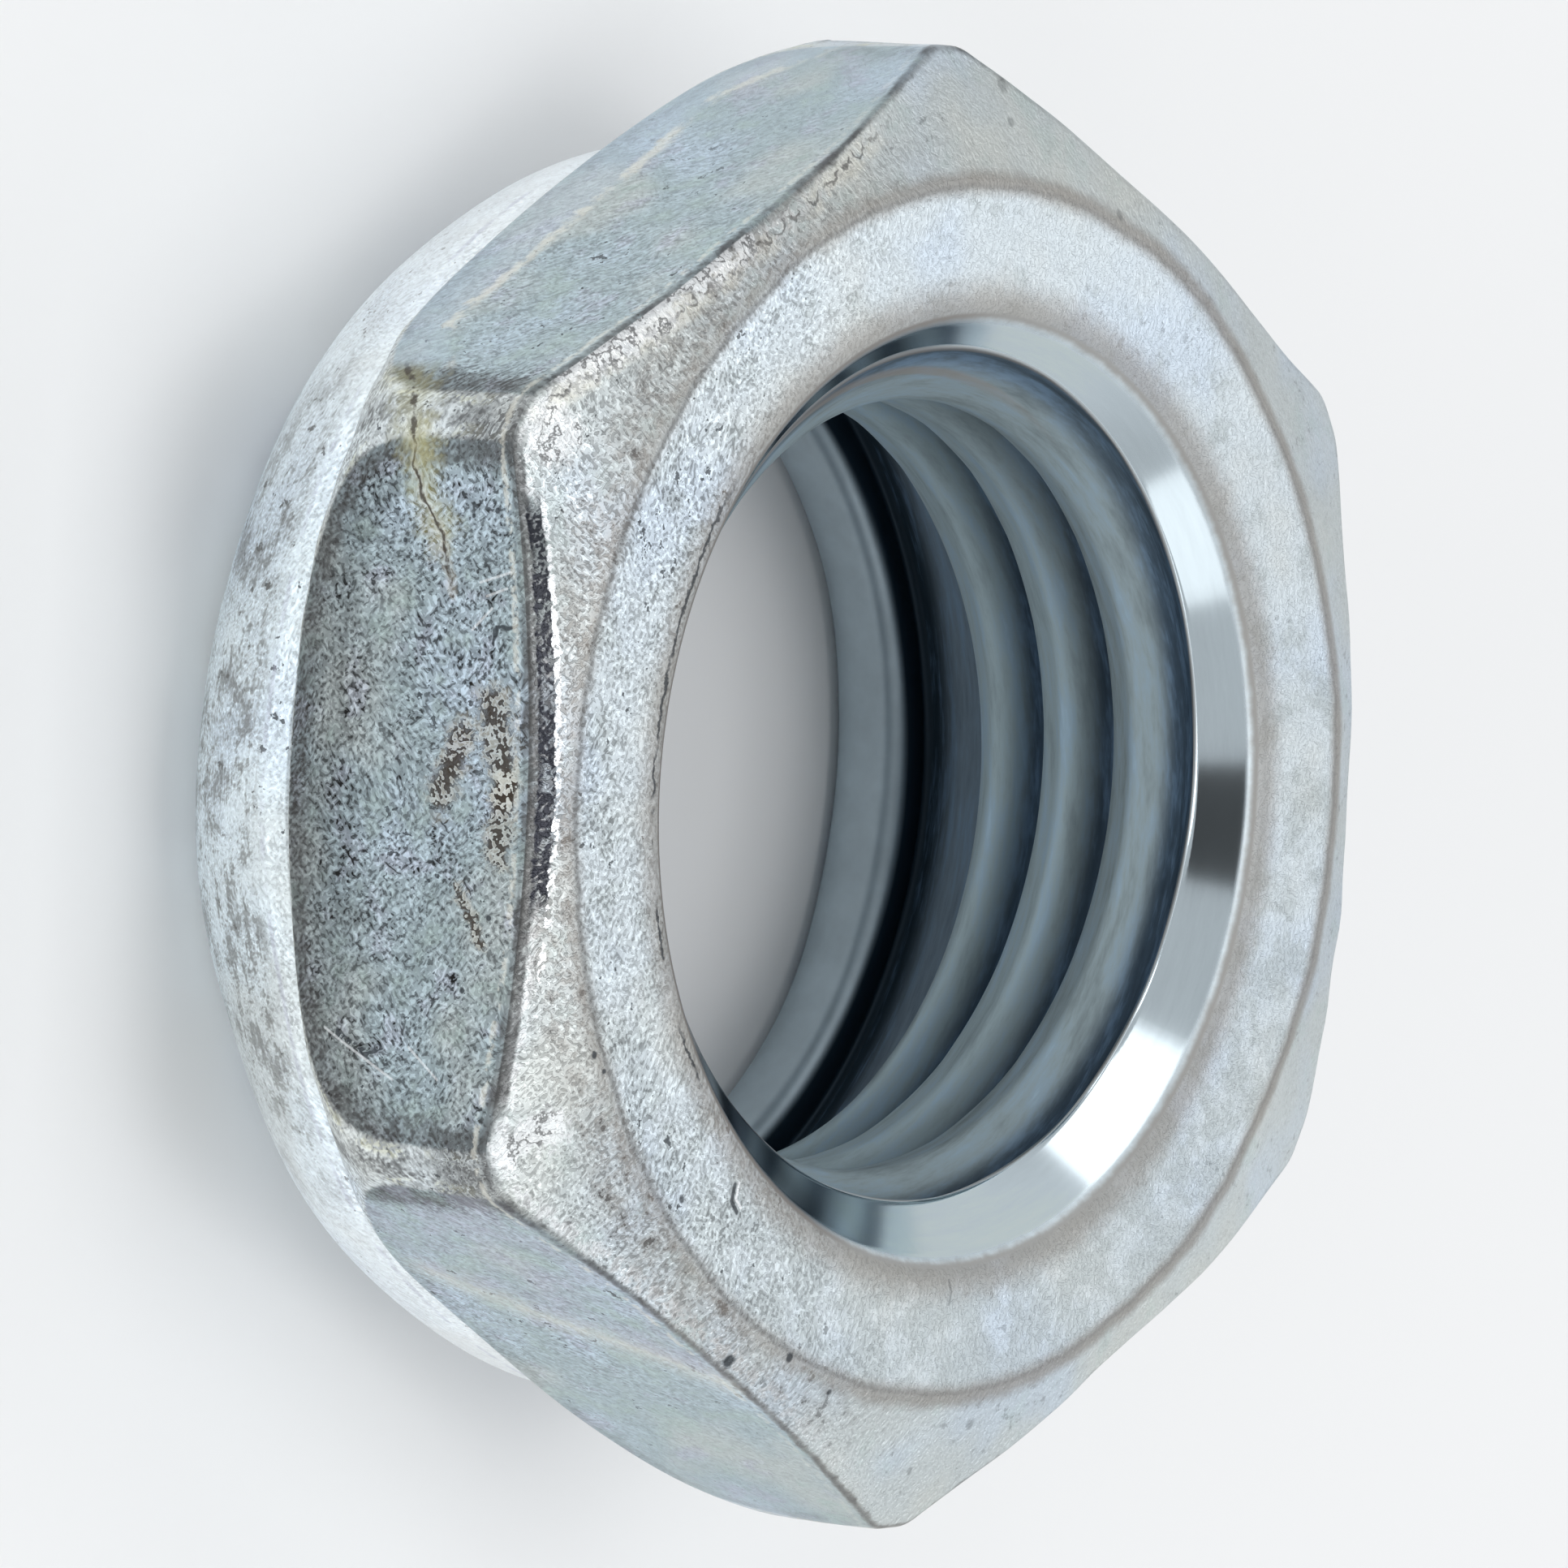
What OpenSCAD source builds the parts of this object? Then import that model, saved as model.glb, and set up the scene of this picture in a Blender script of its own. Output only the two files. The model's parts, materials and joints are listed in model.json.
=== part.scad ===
// Self-locking hexagon nut, thin pattern, M12 x 1.25, made as one piece.
// Millimetres. The axis is +Z. The rolled rim of the collar rests on z = 0 and
// the bearing face, where a bolt goes in, is at the top.

/* [Hexagon] */
// Width across the flats
across_flats = 18; // [17.9:0.1:19]
// Diameter across the six rounded-off corners
corner_d = 20.4; // [19.6:0.1:20.7]
// Height of the hexagon, from the bearing face down to the collar
hex_h = 4.65; // [4.4:0.05:6]
// Radius that carries each corner over to the collar
shoulder_r = 2.2; // [1.6:0.1:2.6]
// Outer diameter of the flat bearing face
face_d = 16.6; // [15.5:0.1:17.4]
// Slope of the chamfer outside the bearing face, in degrees
chamfer_angle = 23; // [15:1:30]
// Height of the stretch of each flat that leans in over the collar
lean_h = 1.25; // [0.8:0.05:1.6]
// Angle of that stretch, in degrees
lean_angle = 5; // [2:0.5:5]

/* [Collar] */
// Outer diameter of the round collar
collar_d = 17.5; // [17:0.1:17.5]
// Height of the collar under the hexagon
collar_h = 3; // [2.7:0.05:4]
// Radius on the outside of the rim, where the collar is rolled in
rim_r = 2.7; // [2.3:0.05:2.9]
// Outer diameter of the narrow flat under the rim, on which the nut stands
rim_flat_d = 13.8; // [13.3:0.1:14.2]
// Diameter of the opening inside the rolled lip
lip_d = 12.5; // [12.2:0.1:12.7]
// Height of the lip, from the rim up to the recess
lip_h = 1.3; // [1:0.05:1.5]
// Radius on the upper edge of the lip
lip_top_r = 0.35; // [0.15:0.05:0.4]
// Radius on the lower edge of the lip
lip_bottom_r = 0.25; // [0.1:0.05:0.35]

/* [Bore] */
// Nominal diameter of the thread
thread_d = 12; // [11.5:0.1:12]
// Pitch of the thread
thread_pitch = 1.25; // [1:0.25:1.75]
// Diameter of the countersink in the bearing face
countersink_d = 13.1; // [12.7:0.1:13.8]
// Included angle of the countersink, in degrees
countersink_angle = 90; // [80:5:120]
// Radius on the edge between the countersink and the bearing face
mouth_r = 0.25; // [0.1:0.05:0.4]
// Diameter of the smooth recess between the thread and the lip
recess_d = 13.7; // [13.4:0.1:14.2]
// Height of the recess wall, above the lip
recess_h = 1.45; // [1.1:0.05:1.7]
// Included angle of the cone from the recess up to the thread, in degrees
runout_angle = 120; // [100:10:150]

/* [Hidden] */

// In a 60 degree thread a nut's crests stand in by this share of the pitch
CREST_SHARE = 0.541266;

height = hex_h + collar_h;
flat_r = across_flats / 2;
corner_r = corner_d / 2;
face_r = face_d / 2;
collar_r = collar_d / 2;
lip_r = lip_d / 2;
recess_r = recess_d / 2;
countersink_r = countersink_d / 2;
bore_r = thread_d / 2 - CREST_SHARE * thread_pitch;

// The chamfer cone falls from the bearing face to the turned corners
chamfer_drop = (corner_r - face_r) * tan(chamfer_angle);
// The shoulder's arc meets the turned corners and the collar's top plane
shoulder_x = corner_r - shoulder_r;
shoulder_z = collar_h + shoulder_r;
// The rim's arc meets the collar's side, and ends at the flat under the rim
rim_x = collar_r - rim_r;
rim_z = sqrt(pow(rim_r, 2) - pow(rim_flat_d / 2 - rim_x, 2));

// The countersink runs down to the thread's crests
countersink_half = countersink_angle / 2;
countersink_drop = (countersink_r - bore_r) / tan(countersink_half);
// Length from the mouth's corner to each end of the arc that rounds it
mouth_reach = mouth_r * tan(45 - countersink_half / 2);

recess_top = lip_h + recess_h;
runout_top = recess_top + (recess_r - bore_r) / tan(runout_angle / 2);

// How far a cutter runs past the face that it opens
over = 1;

// Right half of the turned envelope of the hexagon, with its round shoulder
module hexagon_outline() {
    intersection() {
        polygon([
            [0, collar_h],
            [corner_r, collar_h],
            [corner_r, height - chamfer_drop],
            [face_r, height],
            [0, height]
        ]);
        union() {
            translate([0, shoulder_z]) square([corner_r, hex_h]);
            square([shoulder_x, height]);
            translate([shoulder_x, shoulder_z]) circle(r = shoulder_r, $fn = 96);
        }
    }
}

// Right half of the collar, with the rolled rim and the flat under it
module collar_outline() {
    intersection() {
        square([collar_r, collar_h + over]);
        union() {
            translate([0, rim_z]) square([collar_r, height]);
            square([rim_x, height]);
            translate([rim_x, rim_z]) circle(r = rim_r, $fn = 96);
        }
    }
}

// Section of the lip: a straight land between two rounded edges
module lip_section() {
    land_h = lip_h - lip_top_r - lip_bottom_r;
    translate([lip_r, lip_bottom_r]) square([recess_r, land_h]);
    translate([lip_r + lip_bottom_r, -over]) square([recess_r, over + lip_h - lip_top_r]);
    translate([lip_r + lip_top_r, lip_bottom_r]) square([recess_r, lip_h - lip_bottom_r]);
    translate([lip_r + lip_bottom_r, lip_bottom_r]) circle(r = lip_bottom_r, $fn = 48);
    translate([lip_r + lip_top_r, lip_h - lip_top_r]) circle(r = lip_top_r, $fn = 48);
}

// Sliver that rounds the edge between the countersink and the bearing face
module mouth_rounding() {
    arc_centre = [countersink_r + mouth_reach, height - mouth_r];
    on_cone = [countersink_r - mouth_reach * sin(countersink_half), height - mouth_reach * cos(countersink_half)];
    difference() {
        polygon([
            [countersink_r, height],
            on_cone,
            arc_centre,
            [countersink_r + mouth_reach, height]
        ]);
        translate(arc_centre) circle(r = mouth_r, $fn = 48);
    }
}

// Right half of the hole, from under the rim to above the bearing face
module hole_outline() {
    difference() {
        translate([0, -over]) square([lip_r + lip_top_r, over + lip_h]);
        lip_section();
    }
    polygon([
        [0, lip_h],
        [recess_r, lip_h],
        [recess_r, recess_top],
        [bore_r, runout_top],
        [bore_r, height - countersink_drop],
        [countersink_r, height],
        [countersink_r, height + over],
        [0, height + over]
    ]);
    mouth_rounding();
}

// Cutter for the low stretch of one flat, which leans in towards the collar
module flat_lean() {
    translate([flat_r, 0, collar_h + lean_h])
        rotate([0, lean_angle, 0])
            translate([0, -corner_r, -lean_h - over])
                cube([corner_r, corner_d, lean_h + over]);
}

module nut_body() {
    color([0.72, 0.77, 0.80])
    difference() {
        union() {
            intersection() {
                rotate_extrude($fn = 128) hexagon_outline();
                rotate([0, 0, 30]) cylinder(r = flat_r / cos(30), h = height, $fn = 6);
                difference() {
                    cylinder(r = corner_d, h = height, $fn = 64);
                    for (turn = [0:5]) rotate([0, 0, turn * 60]) flat_lean();
                }
            }
            rotate_extrude($fn = 128) collar_outline();
        }
        rotate_extrude($fn = 128) hole_outline();
    }
}

nut_body();
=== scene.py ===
import json
import math

import bpy
import numpy as np
from mathutils import Matrix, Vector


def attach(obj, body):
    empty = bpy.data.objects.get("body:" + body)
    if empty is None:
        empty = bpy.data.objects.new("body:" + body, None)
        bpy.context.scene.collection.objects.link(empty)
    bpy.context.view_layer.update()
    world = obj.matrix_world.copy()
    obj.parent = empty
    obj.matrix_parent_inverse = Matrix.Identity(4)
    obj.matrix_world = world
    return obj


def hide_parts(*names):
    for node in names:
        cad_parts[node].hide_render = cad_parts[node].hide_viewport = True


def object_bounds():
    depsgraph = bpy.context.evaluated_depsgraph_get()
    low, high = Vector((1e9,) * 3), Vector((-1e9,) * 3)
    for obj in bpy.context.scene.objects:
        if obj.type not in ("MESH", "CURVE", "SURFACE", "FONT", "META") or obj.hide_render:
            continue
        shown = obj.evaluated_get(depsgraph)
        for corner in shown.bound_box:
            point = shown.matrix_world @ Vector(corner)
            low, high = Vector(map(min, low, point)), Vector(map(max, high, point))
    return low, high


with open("model.json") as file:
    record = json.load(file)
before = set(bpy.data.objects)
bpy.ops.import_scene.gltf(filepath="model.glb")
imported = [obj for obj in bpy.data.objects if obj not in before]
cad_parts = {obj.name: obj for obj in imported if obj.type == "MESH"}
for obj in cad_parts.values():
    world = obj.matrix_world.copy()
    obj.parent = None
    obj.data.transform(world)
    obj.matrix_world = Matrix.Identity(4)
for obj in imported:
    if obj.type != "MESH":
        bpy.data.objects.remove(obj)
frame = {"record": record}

cad_low, cad_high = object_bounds()
thread_mount = next(m for m in frame["record"]["mounts"] if m["name"] == "thread")

# A millimetre in metres
MM = 0.001

# Sizes of the nut in millimetres. The first four come from the frame.
HEIGHT = cad_high.z / MM
FLAT_R = cad_high.x / MM
CORNER_R = cad_high.y / MM
BORE_R = thread_mount["dims"]["r_mm"]
FACE_R = 8.3
CHAMFER_SLOPE = math.tan(math.radians(23))
SHOULDER_R = 2.28
SHOULDER_Z = 5.14
COLLAR_R = 8.75
COLLAR_TOP = 2.93
RIM_R = 2.7
RIM_FLAT_R = 6.9
LIP_R = 6.25
LIP_TOP = 1.4
LIP_TOP_R = 0.35
LIP_BOTTOM_R = 0.6
SINK_R = 6.55
RECESS_R = 6.85
RECESS_TOP = 2.75
RUNOUT_SLOPE = math.tan(math.radians(60))

# The thread: right-hand, with one crest centred at this height on the +X side
THREAD_R = 6.0
PITCH = 1.25
CREST_Z = 6.16

# How far the kinks are rounded where the countersink and the runout cut the thread
SINK_SOFT = 0.06
RUNOUT_SOFT = 0.08

# The crease low on each flat, below which the flat leans in over the collar
CREASE_Z = 4.25
CREASE_RISE = 1.06
CREASE_LEVEL = 3.2
CREASE_BEND = 1.12
CREASE_SOFT = 0.12
LEAN = math.tan(math.radians(3.5))

# How far each rounded edge reaches to either side of its sharp line
REAR_EDGE = 0.10
FRONT_EDGE = 0.10
RING_EDGE = 0.20
MOUTH_EDGE = 0.18
CORNER_SOFT = 0.08

# The angle from the middle of a flat to its turned corner
FLAT_END = math.acos(FLAT_R / CORNER_R)

# Columns in one sixth of the turn, from the middle of one corner to the next, and the
# degrees next to each corner in which they are set closer
SECTORS = 6
HALF_SECTOR = 30.0
CORNER_COLUMNS = 4
NEAR_COLUMNS = 6
FLAT_COLUMNS = 40
NEAR_SPAN = 1.9

# Rows along each stretch of the section, in the order in which it runs
ROWS = {"recess floor": 3, "lip top": 8, "lip": 5, "lip foot": 6, "rim flat": 4, "rim": 30,
        "collar": 7, "seam": 5, "shoulder": 16, "rear": 6, "flat": 40, "front": 8,
        "chamfer": 14, "ring": 8, "face": 16, "mouth": 7, "hole": 80, "recess": 8}

# The unevenness of the surface: height, wavelength and seed of the long waves, and the
# wavelength, the seed and the heights of the short lumps
WAVE_HEIGHT = 0.020
WAVE_LENGTH = 4.5
WAVE_SEED = 11
LUMP_LENGTH = 1.3
LUMP_SEED = 12
CHAMFER_LUMPS = 0.007
SHOULDER_LUMPS = 0.012
EDGE_LUMPS = 0.005


def smooth_min(a, b, reach):
    """The smaller of a and b, with the kink between them rounded over that reach."""
    share = np.clip(0.5 + 0.5 * (b - a) / reach, 0, 1)
    return b + (a - b) * share - reach * share * (1 - share)


def smooth_max(a, b, reach):
    """The larger of a and b, with the kink between them rounded over that reach."""
    return -smooth_min(-a, -b, reach)


def step(x, low, high):
    """0 below low, 1 above high and a smooth cubic in between."""
    share = np.clip((x - low) / (high - low), 0, 1)
    return share * share * (3 - 2 * share)


def undulation(points, wavelength, seed, waves=28):
    """A smooth random field of unit strength: a sum of plane waves in random directions,
    each with a wavelength near the given one."""
    draw = np.random.default_rng(seed)
    heading = draw.normal(size=(waves, 3))
    heading /= np.linalg.norm(heading, axis=1)[:, None]
    number = 2 * math.pi / wavelength * draw.uniform(0.6, 1.5, waves)
    phase = draw.uniform(0, 2 * math.pi, waves)
    field = np.zeros(points.shape[:-1])
    for direction, k, shift in zip(heading, number, phase):
        field += np.cos(points @ direction * k + shift)
    return field * math.sqrt(2 / waves)


def column_angles():
    """Angles of the columns in degrees, six equal sectors that each run from corner to
    corner, with the columns set closer where a flat ends at its turned corner."""
    edge = math.degrees(FLAT_END)
    near = edge - NEAR_SPAN
    stops = [(-HALF_SECTOR, -edge, CORNER_COLUMNS), (-edge, -near, NEAR_COLUMNS),
             (-near, near, FLAT_COLUMNS), (near, edge, NEAR_COLUMNS),
             (edge, HALF_SECTOR, CORNER_COLUMNS)]
    sector = np.concatenate([np.linspace(a, b, n, endpoint=False) for a, b, n in stops])
    return np.concatenate([sector + 2 * HALF_SECTOR * turn for turn in range(SECTORS)])


def folded_angle(theta):
    """The angle from the middle of the nearest flat, so that all six sectors are alike."""
    return (theta + math.pi / 6) % (math.pi / 3) - math.pi / 6


def pair(r, z, like):
    """A radius and a height as one point for each column, or for each row and column."""
    r, z, _ = np.broadcast_arrays(r, z, like)
    return np.stack([r, z], -1)


def straight(start, end, count):
    """Points evenly spaced from start towards end, without the end itself."""
    t = (np.arange(count) / count)[:, None, None]
    return start + (end - start) * t


def rounded(before, at, after, count):
    """The parabola from before to after whose tangents cross at the corner point."""
    t = (np.arange(count) / count)[:, None, None]
    return (1 - t) ** 2 * before + 2 * t * (1 - t) * at + t ** 2 * after


def arc(centre_r, centre_z, radius, first, last, count):
    """Points on a circle between two angles, each an array with one angle for a column."""
    t = (np.arange(count) / count)[:, None]
    angle = first + (last - first) * t
    return np.stack([centre_r + radius * np.cos(angle), centre_z + radius * np.sin(angle)], -1)


def crease_height(folded):
    """Height of the crease: level along the flat, rising as a parabola near its ends."""
    across = np.abs(FLAT_R * np.tan(folded))
    bend = np.clip((across - CREASE_LEVEL) / CREASE_BEND, 0, None)
    return CREASE_Z + CREASE_RISE * bend ** 2


def flat_plane(folded, z):
    """Radius of the hexagon's side: the distance of the flat, less its lean below the
    curved crease, over the cosine, rounded off to the turned corner."""
    below = crease_height(folded) - z
    lean = 0.5 * (below + np.sqrt(below ** 2 + CREASE_SOFT ** 2))
    turned = np.full_like(folded, CORNER_R)
    return smooth_min((FLAT_R - LEAN * lean) / np.cos(folded), turned, CORNER_SOFT)


def shoulder_radius(z):
    """Radius of the round shoulder at a height below its centre."""
    drop = SHOULDER_Z - z
    return CORNER_R - SHOULDER_R + np.sqrt(np.clip(SHOULDER_R ** 2 - drop ** 2, 0, None))


def rear_height(folded):
    """Height at which the flat meets the shoulder, found by halving the interval."""
    low = np.full_like(folded, COLLAR_TOP)
    high = np.full_like(folded, SHOULDER_Z)
    for _ in range(40):
        middle = (low + high) / 2
        inside = shoulder_radius(middle) < flat_plane(folded, middle)
        low = np.where(inside, middle, low)
        high = np.where(inside, high, middle)
    return (low + high) / 2


def thread_radius(theta, z):
    """Radius of the threaded wall: crests at the bore radius, a quarter of the pitch wide,
    grooves at the thread radius, and between them flanks whose ends are rounded, each
    5/16 of the pitch long. It climbs one pitch a turn."""
    turns = (z - CREST_Z) / PITCH - theta / (2 * math.pi)
    from_crest = np.abs(turns - np.round(turns)) * PITCH
    flank = np.clip((from_crest - PITCH / 8) / (PITCH * 5 / 16), 0, 1)
    rounded_flank = 0.5 * flank + 0.5 * flank * flank * (3 - 2 * flank)
    return BORE_R + (THREAD_R - BORE_R) * rounded_flank


def sink_radius(z):
    """Radius of the countersink's cone, whose sides stand at 45 degrees."""
    return SINK_R - (HEIGHT - z)


def hole_radius(theta, z):
    """Radius of the hole: the widest of the thread, the countersink's cone above it and
    the cone that runs out into the recess below it."""
    runout = RECESS_R - (z - RECESS_TOP) * RUNOUT_SLOPE
    sunk = smooth_max(thread_radius(theta, z), sink_radius(z), SINK_SOFT)
    return smooth_max(sunk, runout, RUNOUT_SOFT)


def section(theta):
    """The nut's section in every column, as rows of (radius, height), from the foot of the
    recess over the lip, the rim, the collar, the hexagon and the bearing face back down
    the hole. Each named line keeps its own row in all columns."""
    folded = folded_angle(theta)
    rows = []
    lines = {}

    def point(r, z):
        return pair(r, z, theta)

    def down(name):
        """How far along each row of that stretch is, from 0 up to but not including 1."""
        return (np.arange(ROWS[name]) / ROWS[name])[:, None]

    def add(points, line=None):
        if line:
            lines[line] = sum(len(r) for r in rows) + len(points) // 2
        rows.append(points)

    # The lip and the rim. The angles on their arcs are the same in every column.
    outwards = np.zeros_like(theta)
    upwards = outwards + math.pi / 2
    inwards = outwards + math.pi
    downwards = outwards + 1.5 * math.pi
    flat_angle = -math.acos((RIM_FLAT_R - COLLAR_R + RIM_R) / RIM_R)
    rim_z = -RIM_R * math.sin(flat_angle)
    top_r = LIP_R + LIP_TOP_R
    top_z = LIP_TOP - LIP_TOP_R
    foot_r = LIP_R + LIP_BOTTOM_R
    add(straight(point(RECESS_R, LIP_TOP), point(top_r, LIP_TOP), ROWS["recess floor"]))
    add(arc(top_r, top_z, LIP_TOP_R, upwards, inwards, ROWS["lip top"]))
    add(straight(point(LIP_R, top_z), point(LIP_R, LIP_BOTTOM_R), ROWS["lip"]))
    add(arc(foot_r, LIP_BOTTOM_R, LIP_BOTTOM_R, inwards, downwards, ROWS["lip foot"]))
    add(straight(point(foot_r, 0), point(RIM_FLAT_R, 0), ROWS["rim flat"]))
    add(arc(COLLAR_R - RIM_R, rim_z, RIM_R, outwards + flat_angle, outwards, ROWS["rim"]))

    # The collar's straight side and the line where the hexagon's shoulder starts
    first = math.asin((COLLAR_R - CORNER_R + SHOULDER_R) / SHOULDER_R)
    rear_z = rear_height(folded)
    rear_r = flat_plane(folded, rear_z)
    rear = np.arcsin(np.clip((rear_r - CORNER_R + SHOULDER_R) / SHOULDER_R, 0, 1))
    rear_reach = np.minimum(REAR_EDGE, 0.35 * SHOULDER_R * (rear - first))
    begin = first + 0.25 * rear_reach / SHOULDER_R
    end = rear - rear_reach / SHOULDER_R

    def shoulder(angle):
        return pair(CORNER_R - SHOULDER_R + SHOULDER_R * np.sin(angle),
                    SHOULDER_Z - SHOULDER_R * np.cos(angle), theta)

    collar_top = point(COLLAR_R, COLLAR_TOP)
    add(straight(point(COLLAR_R, rim_z), collar_top, ROWS["collar"]))
    add(rounded(collar_top, shoulder(first), shoulder(begin), ROWS["seam"]), "seam")
    add(shoulder(begin + (end - begin) * down("shoulder")))

    # The flats, the chamfer and the bearing face
    up = rear_z + rear_reach
    on_flat = point(flat_plane(folded, up), up)
    add(rounded(shoulder(end), point(rear_r, rear_z), on_flat, ROWS["rear"]), "rear")
    top_r = flat_plane(folded, np.full_like(folded, HEIGHT))
    top_z = HEIGHT - (top_r - FACE_R) * CHAMFER_SLOPE
    below_top = top_z - FRONT_EDGE
    z = up + (below_top - up) * down("flat")
    add(point(flat_plane(folded, z), z))
    cosine = 1 / math.hypot(1, CHAMFER_SLOPE)
    sine = CHAMFER_SLOPE * cosine
    on_chamfer = point(top_r - FRONT_EDGE * cosine, top_z + FRONT_EDGE * sine)
    before_ring = point(FACE_R + RING_EDGE * cosine, HEIGHT - RING_EDGE * sine)
    after_ring = point(FACE_R - RING_EDGE, HEIGHT)
    before_mouth = point(SINK_R + MOUTH_EDGE, HEIGHT)
    slant = MOUTH_EDGE / math.sqrt(2)
    hole_top = HEIGHT - slant
    in_mouth = point(SINK_R - slant, hole_top)
    front = rounded(point(top_r, below_top), point(top_r, top_z), on_chamfer, ROWS["front"])
    add(front, "front")
    add(straight(on_chamfer, before_ring, ROWS["chamfer"]))
    add(rounded(before_ring, point(FACE_R, HEIGHT), after_ring, ROWS["ring"]), "ring")
    add(straight(after_ring, before_mouth, ROWS["face"]))
    add(rounded(before_mouth, point(SINK_R, HEIGHT), in_mouth, ROWS["mouth"]), "mouth")

    # The hole, down to the recess
    z = hole_top + (RECESS_TOP - hole_top) * down("hole")
    add(point(hole_radius(theta, z), z))
    add(straight(point(RECESS_R, RECESS_TOP), point(RECESS_R, LIP_TOP), ROWS["recess"]))
    return np.concatenate(rows), lines


def normals_of(points):
    """Unit normals on a grid closed both ways: the cross product of the step to the next
    column and the step to the next row."""
    along = np.roll(points, -1, 1) - np.roll(points, 1, 1)
    up = np.roll(points, -1, 0) - np.roll(points, 1, 0)
    normal = np.cross(along, up)
    return normal / np.maximum(np.linalg.norm(normal, axis=-1, keepdims=True), 1e-12)


def lengths_along(points):
    """Length from the first row along each column, with the closing row added."""
    closed = np.concatenate([points, points[:1]])
    steps = np.linalg.norm(np.diff(closed, axis=0), axis=-1)
    return np.concatenate([np.zeros((1, points.shape[1])), np.cumsum(steps, 0)])


def wear(points, from_line):
    """Unevenness of the forged surface in millimetres along the normal: long waves all
    over the outside, and short lumps on the chamfer, the shoulder and the front edges."""
    outside = step(-from_line["mouth"], -0.1, 0.3)
    bearing = step(from_line["ring"], -0.2, 0.3) * outside
    chamfer = step(from_line["front"], 0.0, 0.1) * step(-from_line["ring"], 0.0, 0.4)
    shoulder = step(-from_line["rear"], 0.0, 0.1) * step(from_line["seam"], 0.1, 0.4)
    edge = np.exp(-(from_line["front"] / 0.35) ** 2) * outside
    waves = undulation(points, WAVE_LENGTH, WAVE_SEED) * (outside - 0.6 * bearing)
    lumps = undulation(points, LUMP_LENGTH, LUMP_SEED)
    lump_height = CHAMFER_LUMPS * chamfer + SHOULDER_LUMPS * shoulder + EDGE_LUMPS * edge
    return WAVE_HEIGHT * waves + lumps * lump_height


def nut_surface():
    """The whole nut as one closed grid: the section carried round the axis, then moved
    along its normals by the wear, and kept above the floor. Returns the points and what
    the finish reads: for each named line the signed distance from it along the section,
    as "side" the distance from the flat's ends, and as "cone" how far the countersink's
    cone is outside the thread."""
    theta = np.radians(column_angles())
    rows, lines = section(theta)
    radius, height = rows[..., 0], rows[..., 1]
    points = np.stack([radius * np.cos(theta), radius * np.sin(theta), height], -1)
    length = lengths_along(points)
    distance = {name: length - length[row] for name, row in lines.items()}
    inside_end = (FLAT_END - np.abs(folded_angle(theta))) * FLAT_R / math.cos(FLAT_END)
    distance["side"] = np.broadcast_to(inside_end, length.shape)
    closed = np.concatenate([rows, rows[:1]])
    distance["cone"] = sink_radius(closed[..., 1]) - thread_radius(theta, closed[..., 1])
    open_rows = {name: values[:-1] for name, values in distance.items()}
    points = points + normals_of(points) * wear(points, open_rows)[..., None]
    points[..., 2] = np.maximum(points[..., 2], 0.0)
    return points, distance


def grid_mesh(name, points, corner_values):
    """A mesh on a grid closed both ways. Each corner value is an array with one more row
    than the grid, and goes into an attribute of the same name."""
    rows, columns = points.shape[:2]
    row, column = np.meshgrid(np.arange(rows), np.arange(columns), indexing="ij")
    next_row, next_column = (row + 1) % rows, (column + 1) % columns
    corners = [(row, column), (row, next_column), (next_row, next_column), (next_row, column)]
    faces = np.stack([r * columns + c for r, c in corners], -1).reshape(-1, 4)
    mesh = bpy.data.meshes.new(name)
    mesh.vertices.add(rows * columns)
    mesh.vertices.foreach_set("co", (points * MM).astype(np.float32).ravel())
    mesh.loops.add(faces.size)
    mesh.loops.foreach_set("vertex_index", faces.ravel().astype(np.int32))
    mesh.polygons.add(len(faces))
    mesh.polygons.foreach_set("loop_start", np.arange(0, faces.size, 4, dtype=np.int32))
    mesh.update(calc_edges=True)
    mesh.polygons.foreach_set("use_smooth", np.ones(len(faces), bool))
    open_row = [(row, column), (row, next_column), (row + 1, next_column), (row + 1, column)]
    for label, values in corner_values.items():
        spread = np.stack([values[r, c] for r, c in open_row], -1).ravel()
        attribute = mesh.attributes.new(label, "FLOAT", "CORNER")
        attribute.data.foreach_set("value", np.clip(spread, -9, 9).astype(np.float32))
    mesh.validate()
    return mesh


def linear(r, g, b):
    """A display colour, 0 to 255, as the shader's linear colour."""
    def channel(v):
        v /= 255
        return v / 12.92 if v <= 0.04045 else ((v + 0.055) / 1.055) ** 2.4
    return (channel(r), channel(g), channel(b), 1.0)


class Value:
    """One socket of a material. Arithmetic on it adds Math nodes."""

    def __init__(self, finish, socket):
        self.finish = finish
        self.socket = socket

    def __add__(self, other):
        return self.finish.math("ADD", self, other)

    def __sub__(self, other):
        return self.finish.math("SUBTRACT", self, other)

    def __rsub__(self, other):
        return self.finish.math("SUBTRACT", other, self)

    def __mul__(self, other):
        return self.finish.math("MULTIPLY", self, other)

    def __abs__(self):
        return self.finish.math("ABSOLUTE", self)

    __radd__ = __add__
    __rmul__ = __mul__


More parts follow.
